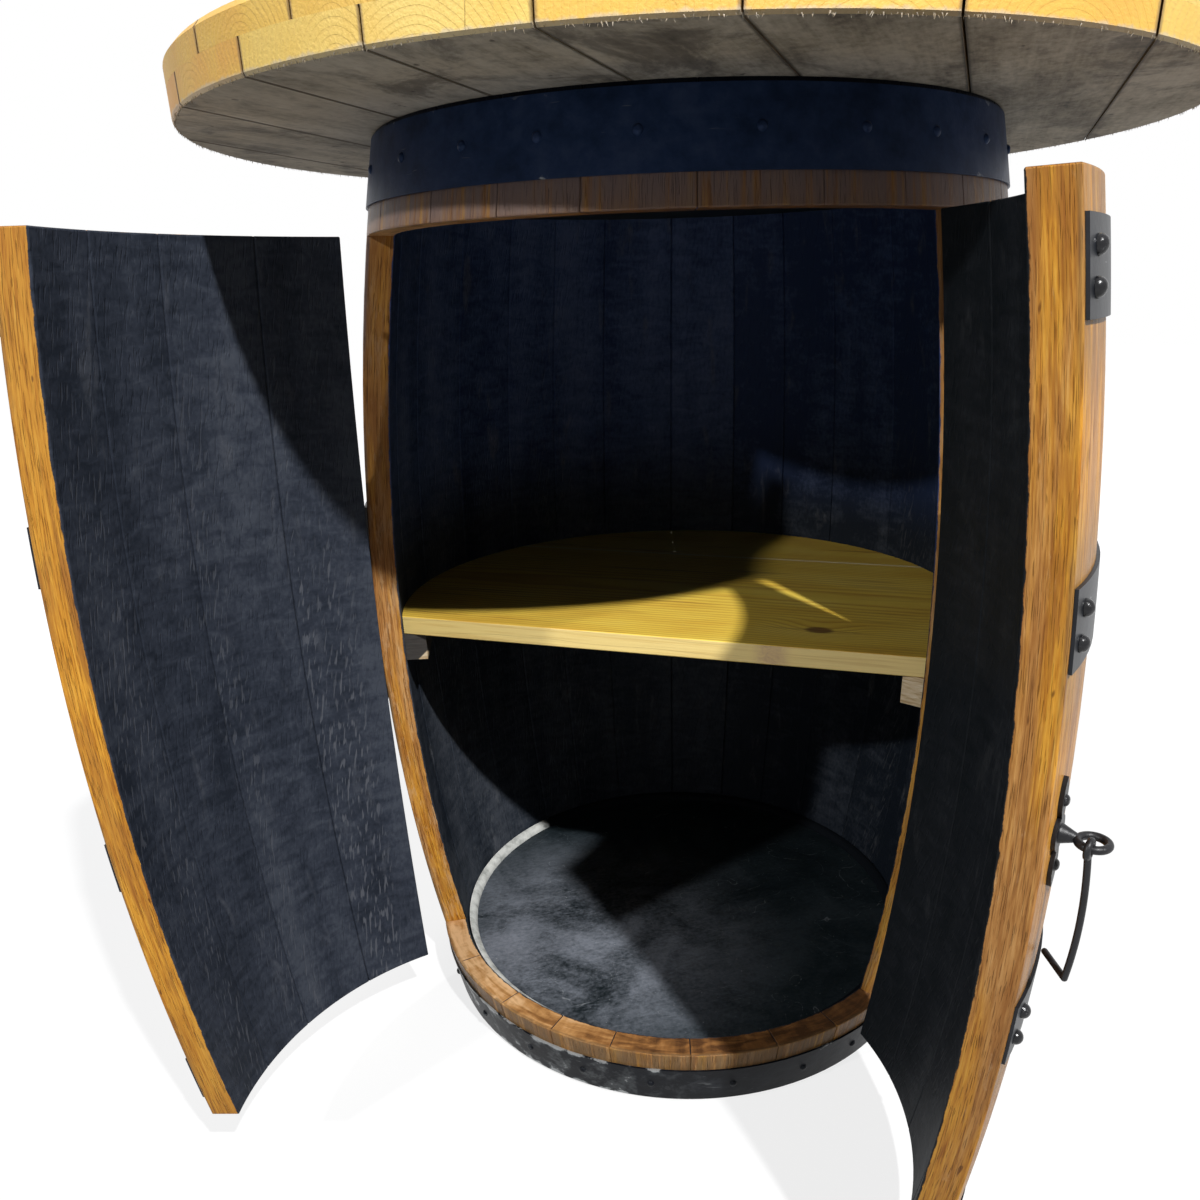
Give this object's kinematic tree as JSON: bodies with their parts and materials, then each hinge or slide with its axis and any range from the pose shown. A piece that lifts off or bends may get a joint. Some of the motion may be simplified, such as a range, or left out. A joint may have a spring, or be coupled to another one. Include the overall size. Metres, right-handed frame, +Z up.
{
  "type": "barrel bar cabinet",
  "caption": "Upright oak barrel made into a bar cabinet, with curved stave doors that swing open on hinges and latch with a hook, a half-round shelf inside and a round board top.",
  "frame": {"origin": "on the barrel's axis at the floor, in the plane of the lower stave ends", "axes": "+Z up along the barrel's axis, -Y out of the door opening, +X to the right of a person who faces the doors"},
  "size_m": [0.87, 0.9252, 0.931],
  "materials": {
    "varnished_oak": "oak staves varnished outside and on the sawn edges, painted black inside",
    "painted_oak": "black painted boards, scuffed",
    "table_pine": "oiled pine boards, weathered grey on the underside",
    "shelf_pine": "varnished pine",
    "raw_pine": "sawn pine",
    "hoop_steel": "blue-black paint with scuffed edges",
    "black_iron": "black iron",
    "fastener_steel": "black fasteners with worn heads",
    "seal_bead": "pale grey sealant"
  },
  "bodies": {
    "cabinet": {"bottom_chime_hoop": "hoop_steel", "bottom_head_boards": "painted_oak", "bottom_head_seal": "seal_bead", "carcass_hoop_nails": "fastener_steel", "carcass_screws": "fastener_steel", "carcass_stave_01": "varnished_oak", "carcass_stave_02": "varnished_oak", "carcass_stave_03": "varnished_oak", "carcass_stave_04": "varnished_oak", "carcass_stave_05": "varnished_oak", "carcass_stave_06": "varnished_oak", "carcass_stave_07": "varnished_oak", "carcass_stave_08": "varnished_oak", "carcass_stave_09": "varnished_oak", "carcass_stave_10": "varnished_oak", "carcass_stave_11": "varnished_oak", "carcass_stave_12": "varnished_oak", "carcass_stave_13": "varnished_oak", "carcass_stave_14": "varnished_oak", "carcass_stave_15": "varnished_oak", "carcass_stave_16": "varnished_oak", "header_stave_ends": "varnished_oak", "hinge_frame_leaves": "black_iron", "hinge_pins": "black_iron", "lower_bilge_hoop": "hoop_steel", "lower_quarter_hoop": "hoop_steel", "shelf_blocks": "raw_pine", "shelf_front_board": "shelf_pine", "shelf_rear_board": "shelf_pine", "sill_stave_ends": "varnished_oak", "tabletop_cleats": "raw_pine", "tabletop_lower_boards": "table_pine", "tabletop_screws": "fastener_steel", "tabletop_upper_boards": "table_pine", "top_chime_hoop": "hoop_steel", "top_head_boards": "painted_oak", "upper_bilge_hoop": "hoop_steel", "upper_quarter_hoop": "hoop_steel"},
    "left_door": {"keeper_eye": "black_iron", "keeper_plate": "black_iron", "left_door_hinge_leaves": "black_iron", "left_door_hoop_nails": "fastener_steel", "left_door_hoops": "hoop_steel", "left_door_screws": "fastener_steel", "left_door_stave_1": "varnished_oak", "left_door_stave_2": "varnished_oak", "left_door_stave_3": "varnished_oak", "left_door_stave_4": "varnished_oak"},
    "right_door": {"latch_eye": "black_iron", "latch_plate": "black_iron", "right_door_hinge_leaves": "black_iron", "right_door_hoop_nails": "fastener_steel", "right_door_hoops": "hoop_steel", "right_door_screws": "fastener_steel", "right_door_stave_1": "varnished_oak", "right_door_stave_2": "varnished_oak", "right_door_stave_3": "varnished_oak", "right_door_stave_4": "varnished_oak"},
    "hook": {"latch_hook": "black_iron"}
  },
  "joints": [
    {"name": "left_door_swing", "type": "hinge", "parent": "cabinet", "child": "left_door", "pos_m": [-0.28589, -0.16682, 0.4725], "axis": [0, 0, -1], "range_deg": [-73.5, 96.5]},
    {"name": "right_door_swing", "type": "hinge", "parent": "cabinet", "child": "right_door", "pos_m": [0.28589, -0.16682, 0.4725], "axis": [0, 0, 1], "range_deg": [-68, 102]},
    {"name": "hook_swing", "type": "hinge", "parent": "right_door", "child": "hook", "pos_m": [0.35, -0.4838, 0.4725], "axis": [-0.9272, 0.3746, 0], "range_deg": [-60, 120]}
  ]
}
